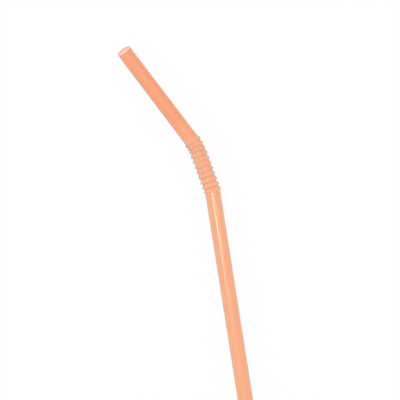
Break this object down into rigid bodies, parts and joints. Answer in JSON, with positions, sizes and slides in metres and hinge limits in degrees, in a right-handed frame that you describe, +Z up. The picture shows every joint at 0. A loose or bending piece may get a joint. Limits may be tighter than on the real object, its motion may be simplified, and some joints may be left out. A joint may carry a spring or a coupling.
{
  "type": "drinking straw",
  "caption": "Flexible drinking straw: one thin plastic tube with a pleated neck, bent by about thirty degrees and lying on its side.",
  "frame": {"origin": "on the surface the straw lies on, under the middle of its bounding box", "axes": "+Z up from that surface, +Y along the long leg from the dip end towards the neck, and the short leg leans towards -X"},
  "size_m": [0.0348, 0.1914, 0.007],
  "materials": {
    "tinted_polypropylene": "thin translucent orange polypropylene, smooth and slightly glossy"
  },
  "bodies": {
    "root": {"straw": "tinted_polypropylene"}
  },
  "joints": []
}
